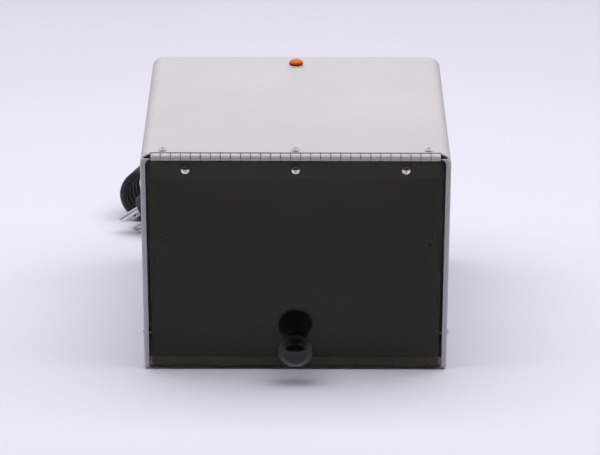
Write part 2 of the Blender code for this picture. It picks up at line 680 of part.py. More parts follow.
def plug_ring(half_x, half_y, z):
    """A rounded section of the plug's body."""
    ring = []
    for i in range(20):
        angle = math.tau * (i + 0.5) / 20
        c, s = math.cos(angle), math.sin(angle)
        u, v = math.copysign(abs(c) ** 0.7, c), math.copysign(abs(s) ** 0.7, s)
        ring.append((half_x * u, PLUG_CENTRE + half_y * v, z))
    return ring


def make_plug(mats):
    """A moulded body, two flat blades with a hole near the tip, and a round ground pin."""
    turn = plug_turn()
    sections = [
        (0.0115, 0.0130, 0),
        (0.0125, 0.0140, -0.002),
        (0.0125, 0.0140, -0.009),
        (0.0112, 0.0120, -0.019),
        (0.0082, 0.0086, -0.028),
        (0.0058, 0.0058, -0.035),
        (0.0040, 0.0040, -PLUG_LENGTH),
    ]
    body = loft([plug_ring(*section) for section in sections])
    add_object("plug_body", body, mats["black"], location=PLUG_AT, turn=turn)
    half_w, half_t, length, chamfer = 0.00315, 0.00075, 0.0159, 0.0012
    outline = [(-half_w, GAP), (half_w, GAP), (half_w, length - chamfer), (half_w - chamfer, length)]
    outline += [(chamfer - half_w, length), (-half_w, length - chamfer)]
    for i, side in enumerate((-1, 1), 1):
        at = PLUG_AT + turn @ Vector((side * BLADE_SPREAD, 0, 0))
        name, place = f"plug_blade_{i}", {"location": at, "turn": turn}
        blade = prism(name, outline, "X", -half_t, half_t, mats["nickel"], **place)
        hole = PLUG_AT + turn @ Vector((side * BLADE_SPREAD, 0, 0.0117))
        drill(blade, hole, turn @ Vector((1, 0, 0)), radius=0.0017, length=0.005)
    pin_r, pin_length = 0.0024, 0.0214
    tip = arc((pin_length - pin_r, 0), pin_r, 90, 0, 4)
    profile = [(0, GAP), (pin_r, GAP), *((r, h) for h, r in tip[:-1]), (0, pin_length)]
    at = PLUG_AT + turn @ Vector((0, 0.0119, 0))
    turned("plug_ground_pin", profile, mats["nickel"], 14, location=at, turn=turn)


def main():
    clear_scene()
    mats = make_materials()
    make_shell(mats)
    make_base_tray(mats)
    make_back_panel(mats)
    make_body_fasteners(mats)
    make_feet(mats)
    make_shell_leaf(mats)
    make_hinge_pin(mats)

    axis = bpy.data.objects.new("door_axis", None)
    axis.location = (0, AXIS_Y, AXIS_Z)
    bpy.context.collection.objects.link(axis)
    make_door_leaf(mats, axis)
    make_door(mats, axis)
    make_knob(mats, axis)
    make_door_fasteners(mats, axis)

    make_gear_cover(mats)
    make_reflector(mats)
    make_lamp(mats)
    make_lamp_holders(mats)
    make_pilot_lamp(mats)
    make_ballast(mats)
    make_starter(mats)

    make_strain_relief(mats)
    make_cord("cord_lead", lead_points(), mats["rubber"])
    make_hank(mats)
    make_tie(mats)
    make_cord("cord_tail", tail_points(), mats["rubber"])
    make_plug(mats)


main()
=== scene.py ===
"""The looks of the UV sterilizer cabinet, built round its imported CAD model.

Metres, +Z up, in the CAD model's own frame: the door faces -Y and the table is z = 0.
"""

import json
import math

import bmesh
import bpy
from mathutils import Euler, Matrix, Vector


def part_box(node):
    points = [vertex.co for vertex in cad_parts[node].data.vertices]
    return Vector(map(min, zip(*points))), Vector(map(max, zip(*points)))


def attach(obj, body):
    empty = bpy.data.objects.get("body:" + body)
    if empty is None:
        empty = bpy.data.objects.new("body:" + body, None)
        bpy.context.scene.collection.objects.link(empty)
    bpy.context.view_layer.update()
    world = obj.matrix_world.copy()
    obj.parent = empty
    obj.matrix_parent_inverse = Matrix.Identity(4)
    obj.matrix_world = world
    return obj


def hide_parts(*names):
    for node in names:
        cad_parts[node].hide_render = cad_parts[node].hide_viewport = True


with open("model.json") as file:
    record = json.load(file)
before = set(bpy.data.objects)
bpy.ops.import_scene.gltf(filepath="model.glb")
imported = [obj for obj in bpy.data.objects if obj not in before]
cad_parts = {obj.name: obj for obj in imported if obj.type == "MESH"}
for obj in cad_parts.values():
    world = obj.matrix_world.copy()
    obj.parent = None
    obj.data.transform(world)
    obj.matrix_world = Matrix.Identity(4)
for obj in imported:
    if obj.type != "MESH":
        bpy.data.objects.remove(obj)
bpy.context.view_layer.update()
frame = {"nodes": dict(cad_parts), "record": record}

# Places that come from the CAD model
SHELL_LOW, SHELL_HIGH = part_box("shell")
FRONT, BACK = SHELL_LOW.y, SHELL_HIGH.y
SIDE, HEIGHT = SHELL_HIGH.x, SHELL_HIGH.z
FLOOR_GAP = SHELL_LOW.z
PANEL_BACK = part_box("back_panel")[1].y
BARREL_LOW, BARREL_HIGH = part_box("hinge_pin")
AXIS = (BARREL_LOW + BARREL_HIGH) / 2

# Sheet metal and hinge, as in the CAD model
SHEET = 0.001
CORNER = 0.009
BEND = 0.002
FRONT_FLANGE = 0.0038
REAR_FLANGE = 0.008
EAR = 0.020
TOP_EDGE = FRONT + 0.0038
CORNER_EDGE = FRONT + 0.0018
NOTCH_Z = HEIGHT - 0.004
GAP = 0.0003
LEAF = 0.001
LEAF_TOP = 0.0018
LEAF_DROP = 0.018
BARREL = 0.00265
KNUCKLES = 29
KNUCKLE = 0.00739
KNUCKLE_SPLIT = 0.0005

# Fasteners and knob
HEAD_R = 0.0031
HEAD_H = 0.0020
KNOB_R = 0.0133
KNOB_RIM = 0.0215
KNOB_REACH = 0.0300

# Mains cord, as in the CAD model
CORD_D = 0.006
RELIEF_LENGTH = 0.024
CORD_EXIT = Vector((0.045, PANEL_BACK + RELIEF_LENGTH, 0.150))
HANK_TURNS = 5
HANK_RADIUS = 3.5 * CORD_D
HANK_RUN = 0.0905
HANK_WAIST = 0.011
HANK_SLANT = 0.4
HANK_LEFT = Vector((-0.1282, BACK + 0.0700, 0.0243))
PLUG_AT = Vector((-0.1250, BACK + 0.0536, 0.0151))
PLUG_AIM = Vector((-0.812, 0.072, -0.579))
PLUG_PIN_SIDE = Vector((-0.530, -0.506, 0.680))
PLUG_LENGTH = 0.048
PLUG_CENTRE = 0.004
BLADE_SPREAD = 0.00635
PIN_SPREAD = 0.0119


# Procedural materials

# Most of a noise's values lie between these
NOISE_LOW, NOISE_HIGH = 0.3, 0.7


class Look:
    """A Principled material, with short ways to drive its sockets from textures."""

    def __init__(self, name, colour, roughness, metallic=0.0, **sockets):
        self.material = bpy.data.materials.new(name)
        self.material.use_nodes = True
        self.tree = self.material.node_tree
        self.shader = self.tree.nodes["Principled BSDF"]
        self.shader.inputs["Base Color"].default_value = (*colour, 1)
        self.shader.inputs["Roughness"].default_value = roughness
        self.shader.inputs["Metallic"].default_value = metallic
        for socket, value in sockets.items():
            self.shader.inputs[socket.replace("_", " ")].default_value = value
        self.place = self.tree.nodes.new("ShaderNodeTexCoord").outputs["Object"]

    def node(self, kind, **settings):
        made = self.tree.nodes.new("ShaderNode" + kind)
        for name, value in settings.items():
            setattr(made, name, value)
        return made

    def link(self, source, target):
        self.tree.links.new(source, target)

    def stretched(self, stretch):
        """Object coordinates, each axis scaled."""
        mapping = self.node("Mapping")
        mapping.inputs["Scale"].default_value = stretch
        self.link(self.place, mapping.inputs["Vector"])
        return mapping.outputs["Vector"]

    def noise(self, scale, detail, stretch=(1, 1, 1)):
        made = self.node("TexNoise")
        made.inputs["Scale"].default_value = scale
        made.inputs["Detail"].default_value = detail
        self.link(self.stretched(stretch), made.inputs["Vector"])
        return made.outputs["Fac"]

    def wave(self, scale, direction, distortion):
        made = self.node("TexWave", bands_direction=direction)
        made.inputs["Scale"].default_value = scale
        made.inputs["Distortion"].default_value = distortion
        self.link(self.place, made.inputs["Vector"])
        return made.outputs["Fac"]

    def height(self, low, high):
        """A value that goes from 0 to 1 as Z goes from low to high."""
        split, step = self.node("SeparateXYZ"), self.node("MapRange")
        self.link(self.place, split.inputs["Vector"])
        step.inputs["From Min"].default_value = low
        step.inputs["From Max"].default_value = high
        self.link(split.outputs["Z"], step.inputs["Value"])
        return step.outputs["Result"]

    def ramp(self, factor, low, high, start=NOISE_LOW, end=NOISE_HIGH):
        """A colour that goes from low to high while the factor goes from start to end."""
        made = self.node("ValToRGB")
        first, last = made.color_ramp.elements
        first.position, first.color = start, (*low, 1)
        last.position, last.color = end, (*high, 1)
        self.link(factor, made.inputs["Fac"])
        return made.outputs["Color"]

    def colour(self, factor, low, high, start=NOISE_LOW, end=NOISE_HIGH):
        self.link(self.ramp(factor, low, high, start, end), self.shader.inputs["Base Color"])

    def rough(self, factor, low, high):
        made = self.node("MapRange")
        made.inputs["From Min"].default_value = NOISE_LOW
        made.inputs["From Max"].default_value = NOISE_HIGH
        made.inputs["To Min"].default_value = low
        made.inputs["To Max"].default_value = high
        self.link(factor, made.inputs["Value"])
        self.link(made.outputs["Result"], self.shader.inputs["Roughness"])

    def bump(self, factor, distance, strength, target=None):
        made = self.node("Bump")
        made.inputs["Strength"].default_value = strength
        made.inputs["Distance"].default_value = distance
        self.link(factor, made.inputs["Height"])
        self.link(made.outputs["Normal"], target or self.shader.inputs["Normal"])
        return made.outputs["Normal"]


def paint_look():
    """Baked enamel: a warm light grey with a fine orange peel and faint clouding."""
    look = Look("Enamel", (0.53, 0.508, 0.52), 0.42)
    look.colour(look.noise(14, 4), (0.515, 0.495, 0.508), (0.545, 0.522, 0.536))
    look.rough(look.noise(60, 3), 0.36, 0.48)
    look.bump(look.noise(950, 1), 0.00004, 0.35)
    return look.material


def leaf_look():
    """The door's hinge leaf: enamel on the knuckles, and painted shade, a dark grey, on the flat
    behind the door and under the barrel.
    """
    look = Look("Leaf_painted_shade", (0.45, 0.43, 0.45), 0.42)
    # Painted shade: below the barrel the leaf turns dark grey, standing in for the shade behind the
    # door and in the gap under the barrel.
    look.colour(look.height(-0.0034, -0.0024), (0.24, 0.235, 0.20), (0.53, 0.508, 0.522), 0, 1)
    look.rough(look.noise(60, 3), 0.36, 0.48)
    return look.material


def acrylic_look():
    """Smoked clear sheet with a low-glare coat, tinted right through and very slightly hazy."""
    look = Look("Smoked_acrylic", (0.02, 0.02, 0.015), 0.04, IOR=1.49)
    clear = look.node("BsdfTransparent")
    tint = look.ramp(look.noise(9, 2), (0.615, 0.620, 0.520), (0.635, 0.640, 0.538))
    look.link(tint, clear.inputs["Color"])
    gloss = look.node("BsdfGlossy")
    gloss.inputs["Color"].default_value = (1, 1, 1, 1)
    haze = look.node("MapRange")
    haze.inputs["To Min"].default_value = 0.001
    haze.inputs["To Max"].default_value = 0.006
    look.link(look.noise(35, 5), haze.inputs["Value"])
    look.link(haze.outputs["Result"], gloss.inputs["Roughness"])
    fresnel = look.node("Fresnel")
    fresnel.inputs["IOR"].default_value = 1.30
    normal = look.bump(look.noise(7, 0), 0.0004, 0.006, gloss.inputs["Normal"])
    look.link(normal, fresnel.inputs["Normal"])
    mix = look.node("MixShader")
    look.link(fresnel.outputs["Fac"], mix.inputs["Fac"])
    look.link(clear.outputs["BSDF"], mix.inputs[1])
    look.link(gloss.outputs["BSDF"], mix.inputs[2])
    look.link(mix.outputs["Shader"], look.tree.nodes["Material Output"].inputs["Surface"])
    return look.material


def phenolic_look():
    look = Look("Black_phenolic", (0.003, 0.003, 0.004), 0.06, IOR=1.42)
    look.colour(look.noise(240, 3), (0.002, 0.002, 0.002), (0.005, 0.005, 0.005))
    look.rough(look.noise(400, 4), 0.04, 0.09)
    look.bump(look.noise(1800, 2), 0.000004, 0.4)
    return look.material


def nickel_look():
    look = Look("Nickel_plate", (0.80, 0.78, 0.74), 0.16, metallic=1.0)
    look.colour(look.noise(500, 3), (0.74, 0.72, 0.69), (0.86, 0.84, 0.80))
    look.rough(look.noise(1500, 4), 0.10, 0.24)
    look.bump(look.noise(2500, 3), 0.000006, 0.4)
    return look.material


def pin_plate_look():
    """The plug's pins: nickel dulled by use, with fine scratches along them."""
    look = Look("Dull_nickel", (0.84, 0.81, 0.79), 0.38, metallic=1.0)
    scratches = look.noise(300, 4, (6, 6, 1))
    look.colour(scratches, (0.78, 0.75, 0.73), (0.92, 0.89, 0.87))
    look.rough(scratches, 0.34, 0.50)
    look.bump(scratches, 0.00001, 0.4)
    return look.material


def zinc_look():
    look = Look("Zinc_plate", (0.56, 0.57, 0.58), 0.34, metallic=1.0)
    look.colour(look.noise(300, 4), (0.50, 0.52, 0.55), (0.66, 0.65, 0.60))
    look.rough(look.noise(900, 3), 0.26, 0.42)
    look.bump(look.noise(1600, 3), 0.00001, 0.4)
    return look.material


def aluminium_look():
    """Bright rolled sheet, with its grain along X."""
    look = Look("Bright_aluminium", (0.82, 0.83, 0.84), 0.22, metallic=1.0)
    grain = look.noise(60, 4, (1, 60, 60))
    look.colour(grain, (0.76, 0.77, 0.79), (0.88, 0.89, 0.90))
    look.rough(grain, 0.14, 0.32)
    look.bump(grain, 0.00001, 0.3)
    return look.material


def amber_look():
    """A moulded amber lens, with painted shade at its foot and painted light towards its top."""
    look = Look("Amber_lens", (0.80, 0.18, 0.004), 0.10, IOR=1.4, Transmission_Weight=0.15)
    # Painted shade and light: dark red at the foot, going to bright orange towards the top, as if
    # lit from above.
    look.colour(look.height(0.0018, 0.0044), (0.12, 0.010, 0.0005), (0.84, 0.165, 0.001), 0, 1)
    look.rough(look.noise(900, 2), 0.05, 0.12)
    look.bump(look.wave(650, "X", 1.5), 0.00004, 0.4)
    return look.material


def glass_look():
    look = Look("Quartz_glass", (0.93, 0.96, 0.98), 0.02, IOR=1.46, Transmission_Weight=1.0)
    look.colour(look.noise(30, 3), (0.90, 0.93, 0.96), (0.97, 0.98, 0.99))
    look.rough(look.noise(120, 3), 0.01, 0.05)
    return look.material


def white_look():
    look = Look("White_plastic", (0.74, 0.73, 0.70), 0.40)
    look.colour(look.noise(90, 3), (0.70, 0.69, 0.66), (0.78, 0.77, 0.74))
    look.rough(look.noise(700, 3), 0.34, 0.48)
    look.bump(look.noise(2200, 2), 0.00001, 0.4)
    return look.material


def black_look():
    """Moulded thermoplastic with a fine spark-eroded grain."""
    look = Look("Black_plastic", (0.014, 0.014, 0.016), 0.38)
    look.colour(look.noise(150, 3), (0.010, 0.010, 0.012), (0.019, 0.019, 0.022))
    look.rough(look.noise(800, 3), 0.30, 0.46)
    look.bump(look.noise(3200, 2), 0.00002, 0.5)
    return look.material


def jacket_look():
    """The cord's rubber jacket: dull, a little dusty."""
    look = Look("Cord_jacket", (0.015, 0.015, 0.018), 0.45)
    look.colour(look.noise(180, 4), (0.010, 0.010, 0.013), (0.024, 0.024, 0.029))
    look.rough(look.noise(350, 3), 0.36, 0.56)
    look.bump(look.noise(1800, 3), 0.00003, 0.5)
    return look.material


def pin_look():
    """Dark brownish steel for the hinge pin: painted shade for its hollow between the knuckles."""
    look = Look("Pin_painted_shade", (0.05, 0.045, 0.04), 0.45, metallic=0.8)
    look.colour(look.noise(260, 4), (0.025, 0.022, 0.020), (0.085, 0.075, 0.065))
    look.rough(look.noise(600, 3), 0.35, 0.60)
    return look.material


def core_look():
    """Varnished steel laminations, stacked along X."""
    look = Look("Laminations", (0.07, 0.065, 0.06), 0.5, metallic=0.5)
    layers = look.wave(330, "X", 0.2)
    look.colour(layers, (0.035, 0.032, 0.030), (0.13, 0.12, 0.11))
    look.rough(look.noise(400, 3), 0.38, 0.62)
    look.bump(layers, 0.0001, 0.6)
    return look.material


def make_looks():
    return {
        "paint": paint_look(),
        "leaf_painted_shade": leaf_look(),
        "smoked_acrylic": acrylic_look(),
        "black_phenolic": phenolic_look(),
        "nickel_plate": nickel_look(),
        "dull_nickel": pin_plate_look(),
        "zinc_plate": zinc_look(),
        "aluminium": aluminium_look(),
        "amber_lens": amber_look(),
        "quartz_glass": glass_look(),
        "white_plastic": white_look(),
        "black_plastic": black_look(),
        "black_rubber": jacket_look(),
        "varnished_steel": core_look(),
        "pin_painted_shade": pin_look(),
    }


# Modelling tools


def arc(centre, radius, start, end, steps):
    """Points on an arc, with its angles in degrees."""
    angles = (math.radians(start + (end - start) * i / steps) for i in range(steps + 1))
    return [(centre[0] + radius * math.cos(a), centre[1] + radius * math.sin(a)) for a in angles]


def facing(direction):
    """The rotation that takes +Z to a direction."""
    return Vector(direction).to_track_quat("Z", "Y").to_matrix()


def axis_point(axis, u, v, w):
    """A point with u and v across the axis and w along it."""
    return {"X": (w, u, v), "Y": (u, w, v), "Z": (u, v, w)}[axis]


def loft(bm, rings):
    """Adds a closed skin over rings of points, each with the same number of points."""
    made = [[bm.verts.new(point) for point in ring] for ring in rings]
    for low, high in zip(made, made[1:]):
        for i in range(len(low)):
            j = (i + 1) % len(low)
            bm.faces.new((low[i], low[j], high[j], high[i]))
    bm.faces.new(made[0])
    bm.faces.new(made[-1])


def prism(bm, outline, axis, low, high):
    loft(bm, [[axis_point(axis, u, v, w) for u, v in outline] for w in (low, high)])


def box_mesh(bm, low, high):
    outline = [(low[0], low[1]), (high[0], low[1]), (high[0], high[1]), (low[0], high[1])]
    prism(bm, outline, "Z", low[2], high[2])


def turn(bm, profile, steps=48):
    """Adds a profile of (radius, height) turned about Z."""
    verts = [bm.verts.new((r, 0, z)) for r, z in profile]
    edges = [bm.edges.new(pair) for pair in zip(verts, verts[1:])]
    spin = {"cent": (0, 0, 0), "axis": (0, 0, 1), "angle": math.tau, "steps": steps}
    bmesh.ops.spin(bm, geom=verts + edges, use_merge=True, **spin)
    bmesh.ops.remove_doubles(bm, verts=bm.verts, dist=1e-7)


def new_mesh(name, bm):
    bmesh.ops.recalc_face_normals(bm, faces=bm.faces)
    mesh = bpy.data.meshes.new(name)
    bm.to_mesh(mesh)
    bm.free()
    return mesh


def new_object(name, mesh, location=(0, 0, 0), turned=None):
    obj = bpy.data.objects.new(name, mesh)
    bpy.context.collection.objects.link(obj)
    place = Matrix.Translation(location)
    obj.matrix_world = place @ turned.to_4x4() if turned is not None else place
    return obj


def cut(obj, tool):
    modifier = obj.modifiers.new("Cut", "BOOLEAN")
    modifier.operation = "DIFFERENCE"
    modifier.object = tool


def bevel(obj, width, segments=2, angle=35):
    modifier = obj.modifiers.new("Bevel", "BEVEL")
    modifier.width = width
    modifier.segments = segments
    modifier.limit_method = "ANGLE"
    modifier.angle_limit = math.radians(angle)


def apply_modifiers(obj, smooth=34):
    """Turns the object's modifiers into mesh, removes their tools, and smooths up to an angle."""
    tools = [m.object for m in obj.modifiers if m.type == "BOOLEAN"]
    bpy.context.view_layer.update()
    graph = bpy.context.evaluated_depsgraph_get()
    mesh = bpy.data.meshes.new_from_object(obj.evaluated_get(graph))
    obj.modifiers.clear()
    obj.data = mesh
    for tool in tools:
        bpy.data.objects.remove(tool, do_unlink=True)
    shade(mesh, smooth)
    return obj


def shade(mesh, angle=34):
    mesh.shade_smooth()
    mesh.set_sharp_from_angle(angle=math.radians(angle))


def finish_piece(obj, looks, slot, body, *nodes, look=None):
    """Gives a piece its material and its body, and lets it stand for CAD nodes."""
    obj.data.materials.clear()
    obj.data.materials.append(looks[look or slot])
    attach(obj, body)
    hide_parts(*nodes)


# Sheet-metal body


def wrapper_section():
    """The wrapper's cross-section: inset from the outer face, and Y."""
    inner = BEND - SHEET
    outside = [(FRONT_FLANGE, FRONT)]
    outside += arc((BEND, FRONT + BEND), BEND, 270, 180, 10)
    outside += arc((BEND, BACK - BEND), BEND, 180, 90, 10)
    outside += [(REAR_FLANGE, BACK), (REAR_FLANGE, BACK - SHEET)]
    inside = arc((BEND, BACK - BEND), inner, 90, 180, 6)
    inside += arc((BEND, FRONT + BEND), inner, 180, 270, 6)
    return outside + inside + [(FRONT_FLANGE, FRONT + SHEET)]


def wrapper_stations():
    """Points up one side, over the top and down the other, each with its inward direction."""
    stations = [((-SIDE, FLOOR_GAP), (1, 0))]
    for x, start, end in ((-SIDE + CORNER, 180, 90), (SIDE - CORNER, 90, 0)):
        rim = arc((x, HEIGHT - CORNER), CORNER, start, end, 20)
        inward = arc((0, 0), -1, start, end, 20)
        stations += zip(rim, inward)
    stations.append(((SIDE, FLOOR_GAP), (-1, 0)))
    return stations


def block(name, low, high):
    bm = bmesh.new()
    box_mesh(bm, low, high)
    return new_object(name, new_mesh(name, bm))


def make_shell(looks):
    """The bent casing: cut back round the hinge, and with rear flanges that are slim halfway up."""
    section, bm = wrapper_section(), bmesh.new()
    rings = []
    for (x, z), (nx, nz) in wrapper_stations():
        rings.append([(x + nx * inset, y, z + nz * inset) for inset, y in section])
    loft(bm, rings)
    shell = new_object("Casing", new_mesh("Casing", bm))
    past = 0.01
    front, top = FRONT - past, HEIGHT + past
    cut(shell, block("Corners", (-2 * SIDE, front, NOTCH_Z), (2 * SIDE, CORNER_EDGE, top)))
    clear, notch_foot = KNUCKLES * KNUCKLE / 2 + GAP, NOTCH_Z - 0.005
    cut(shell, block("Notch", (-clear, front, notch_foot), (clear, TOP_EDGE, top)))
    slim, slim_top = SIDE - FRONT_FLANGE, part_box("gear_cover")[0].z + 0.010
    cut(shell, block("Slim", (-slim, BACK - 0.0015, EAR), (slim, BACK + 0.001, slim_top)))
    bevel(shell, 0.00025)
    apply_modifiers(shell)
    finish_piece(shell, looks, "paint", "cabinet", "shell")


# Hinge


def curl(start, end, reach, rise, chamfer):
    """The section of a rolled knuckle about the pin: a strip that ends in a flat tab."""
    outer, inner = BARREL - chamfer, BARREL - LEAF + chamfer
    rim = arc((0, 0), outer, start, end, 36)
    bore = arc((0, 0), inner, end, rise, 36)
    return reach[:1] + rim + bore + reach[1:]


def shell_curl(chamfer):
    """A knuckle that opens backwards, onto the casing's top."""
    above, below = LEAF_TOP - chamfer, LEAF_TOP - LEAF + chamfer
    tab, end = 0.0054, 334
    start = math.degrees(math.asin(above / (BARREL - chamfer)))
    rise = math.degrees(math.asin(below / (BARREL - LEAF + chamfer)))
    return curl(start, end, [(tab, above), (tab, below)], rise, chamfer)


def door_curl(chamfer):
    """A knuckle that opens downwards, behind the door."""
    outer, inner = BARREL - chamfer, BARREL - LEAF + chamfer
    tab, end = -0.0046, 295
    return curl(0, end, [(outer, tab), (inner, tab)], 0, chamfer)


def make_leaf(name, section, first, plate_low, plate_high):
    """A hinge leaf: every other knuckle, and the flat plate they are rolled from."""
    bm, edge = bmesh.new(), 0.00014
    for i in range(first, KNUCKLES, 2):
        low = (i - KNUCKLES / 2) * KNUCKLE + KNUCKLE_SPLIT / 2
        high = low + KNUCKLE - KNUCKLE_SPLIT
        stops = ((low, edge), (low + edge, 0), (high - edge, 0), (high, edge))
        rings = [[(x, y, z) for y, z in section(chamfer)] for x, chamfer in stops]
        loft(bm, rings)
    box_mesh(bm, plate_low, plate_high)
    leaf = new_object(name, new_mesh(name, bm), AXIS)
    bevel(leaf, 0.0001, 1, 60)
    return apply_modifiers(leaf, 30)


def make_hinge(looks):
    half = KNUCKLES * KNUCKLE / 2 - KNUCKLE_SPLIT / 2
    plate_front, plate_back, plate_top = 0.0045, 0.0156, -0.0042
    low, high = (-half, plate_front, LEAF_TOP - LEAF), (half, plate_back, LEAF_TOP)
    leaf = make_leaf("Hinge_leaf_shell", shell_curl, 0, low, high)
    finish_piece(leaf, looks, "paint", "cabinet", "hinge_leaf_shell")
    low, high = (-half, BARREL - LEAF, -LEAF_DROP), (half, BARREL, plate_top)
    leaf = make_leaf("Hinge_leaf_door", door_curl, 1, low, high)
    finish_piece(leaf, looks, "paint", "door", "hinge_leaf_door", look="leaf_painted_shade")


# Fasteners


def screw_mesh():
    """A pan head with a cross recess, its base at z = 0, and a plain shank."""
    crown_r, rim_r, shank_r = 0.0041, 0.0006, 0.0017
    crown = arc((0, HEAD_H - crown_r), crown_r, 90, 48, 10)
    rim = arc((HEAD_R - rim_r, 0.0004), rim_r, 45, -20, 6)
    shank = [(0.0027, 0), (shank_r, 0), (shank_r, -0.0050), (0, -0.0054)]
    bm = bmesh.new()
    turn(bm, [(0, HEAD_H)] + crown[1:] + rim + shank)
    screw = new_object("Screw_pattern", new_mesh("Screw_head", bm))
    wide, narrow, half = 0.0014, 0.0007, 0.00028
    above, mouth, foot = HEAD_H + 0.001, HEAD_H - 0.0003, HEAD_H - 0.0013
    blade = [(-wide, above), (wide, above), (wide * 0.9, mouth)]
    blade += [(narrow, foot), (-narrow, foot), (-wide * 0.9, mouth)]
    for i in range(2):
        bm = bmesh.new()
        prism(bm, blade, "Y", -half, half)
        turned = Matrix.Rotation(i * math.pi / 2, 3, "Z")
        cut(screw, new_object(f"Recess_{i}", new_mesh("Recess", bm), turned=turned))
    bevel(screw, 0.00006, 1, 40)
    apply_modifiers(screw, 40)
    mesh = screw.data
    bpy.data.objects.remove(screw)
    return mesh


def make_screws(looks):
    """Screws in the places of the CAD model's, each turned by another amount."""
    mesh = screw_mesh()
    # Each kind's outward direction, and the body that it rides on
    kinds = {
        "top_screw": ((0, 0, 1), "cabinet"),
        "door_screw": ((0, -1, 0), "door"),
        "knob_screw": ((0, 1, 0), "door"),
        "side_screw_left": ((-1, 0, 0), "cabinet"),
        "side_screw_right": ((1, 0, 0), "cabinet"),
        "back_screw": ((0, 1, 0), "cabinet"),
    }
    nodes = sorted(name for name in frame["nodes"] if "_screw" in name)
    for i, node in enumerate(nodes):
        way, body = next(kind for start, kind in kinds.items() if node.startswith(start))
        low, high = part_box(node)
        out = Vector(way)
        seat = max(high.dot(out), low.dot(out)) - HEAD_H
        middle = (low + high) / 2
        base = middle + out * (seat - middle.dot(out))
        spin = Matrix.Rotation(math.radians(67 * i), 3, "Z")
        screw = new_object(node.title(), mesh.copy(), base, facing(way) @ spin)
        finish_piece(screw, looks, "nickel_plate", body, node)


# Knob and pilot lamp


def make_knob(looks):
    """A mushroom knob: a neck, a rounded rim, a flank that tapers forward and a low dome."""
    neck, neck_end, slope, rim = 0.0053, 0.0120, 0.0075, 0.0015
    dome, edge, lean = 0.0150, 0.0030, 31
    start, inner = KNOB_REACH - dome, dome - edge
    corner = (start + inner * math.cos(math.radians(lean)), inner * math.sin(math.radians(lean)))
    head = arc((neck_end, neck + slope), slope, 270, 355, 14)
    head += arc((KNOB_RIM, KNOB_R - rim), rim, 130, 50, 10)
    head += arc(corner, edge, 50, lean, 5) + arc((start, 0), dome, lean, 0, 16)[1:-1]
    bore, bore_depth, collar = 0.0021, 0.004, neck + 0.0009
    foot = [(bore, bore_depth), (bore, 0), (neck + 0.0006, 0), (collar, 0.0003)]
    foot += [(collar, 0.0010), (neck + 0.0004, 0.0018), (neck, 0.0030)]
    bm = bmesh.new()
    turn(bm, foot + [(r, h) for h, r in head] + [(0, KNOB_REACH)], 72)
    at = (0, FRONT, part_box("knob")[0].z + KNOB_R)
    knob = new_object("Knob", new_mesh("Knob", bm), at, facing((0, -1, 0)))
    shade(knob.data, 40)
    finish_piece(knob, looks, "black_phenolic", "door", "knob")


def make_pilot_lamp(looks):
    """A thin bezel on the casing's top, and a domed lens in it."""
    low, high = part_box("pilot_body")
    at = Vector(((low.x + high.x) / 2, (low.y + high.y) / 2, HEIGHT))
    bezel_r, bezel_h, ease = 0.0062, 0.0010, 0.0004
    rim = arc((bezel_r - ease, bezel_h - ease), ease, 0, 90, 4)
    bm = bmesh.new()
    turn(bm, [(0.0051, 0), (bezel_r, 0), *rim, (0.0050, bezel_h), (0, 0.0008)])
    bezel = new_object("Pilot_bezel", new_mesh("Pilot_bezel", bm), at)
    shade(bezel.data)
    finish_piece(bezel, looks, "white_plastic", "cabinet")
    radius, foot, skirt, top = 0.0056, 0.0012, 0.0019, 0.0052
    dome = [(radius * h, skirt + (top - skirt) * v) for h, v in arc((0, 0), 1, 0, 84, 12)]
    bm = bmesh.new()
    turn(bm, [(0, foot), (radius, foot), *dome, (0, top)])
    lens = new_object("Pilot_lens", new_mesh("Pilot_lens", bm), at)
    shade(lens.data)
    finish_piece(lens, looks, "amber_lens", "cabinet", "pilot_lens")


# Mains cord


def smooth_route(points, spacing):
    """Points a little apart on one smooth curve through the route's points."""
    ends = [2 * points[0] - points[1], *points, 2 * points[-1] - points[-2]]
    fine, per_span = [], 20
    for p0, p1, p2, p3 in zip(ends, ends[1:], ends[2:], ends[3:]):
        for k in range(per_span):
            t = k / per_span
            bend = 2 * p0 - 5 * p1 + 4 * p2 - p3
            twist = 3 * p1 - p0 - 3 * p2 + p3
            fine.append(p1 + 0.5 * t * (p2 - p0) + 0.5 * t * t * bend + 0.5 * t**3 * twist)
    fine.append(points[-1])
    total = sum((b - a).length for a, b in zip(fine, fine[1:]))
    count = max(2, round(total / spacing))
    route, travelled, step = [fine[0]], 0.0, total / count
    for a, b in zip(fine, fine[1:]):
        travelled += (b - a).length
        if travelled >= step * len(route) and len(route) < count:
            route.append(b)
    return route + [fine[-1]]


def plug_turn():
    """The plug's rotation: X across the blades, Y towards the ground pin, Z the way they point."""
    aim = PLUG_AIM.normalized()
    pin = (PLUG_PIN_SIDE - PLUG_PIN_SIDE.project(aim)).normalized()
    return Matrix((pin.cross(aim), pin, aim)).transposed()


def plug_tail():
    return PLUG_AT + plug_turn() @ Vector((0, PLUG_CENTRE, -PLUG_LENGTH))


def lead_points():
    """From the strain relief down to the top of the hank's rear layer."""
    y, z = CORD_EXIT.y, CORD_EXIT.z
    return [
        CORD_EXIT + Vector((0, GAP, 0)),
        Vector((0.045, y + 0.012, z - 0.0005)),
        Vector((0.0435, y + 0.0236, z - 0.005)),
        Vector((0.0396, y + 0.0358, z - 0.0141)),
        Vector((0.0331, y + 0.0466, z - 0.0272)),
        Vector((0.0252, y + 0.0570, z - 0.0430)),
        Vector((0.0163, y + 0.0658, z - 0.0598)),
        Vector((0.0084, y + 0.0719, z - 0.0759)),
        Vector((0.0015, y + 0.0748, z - 0.0883)),
        Vector((-0.0060, y + 0.0752, z - 0.0972)),
        Vector((-0.0120, y + 0.0750, z - 0.1012)),
    ]


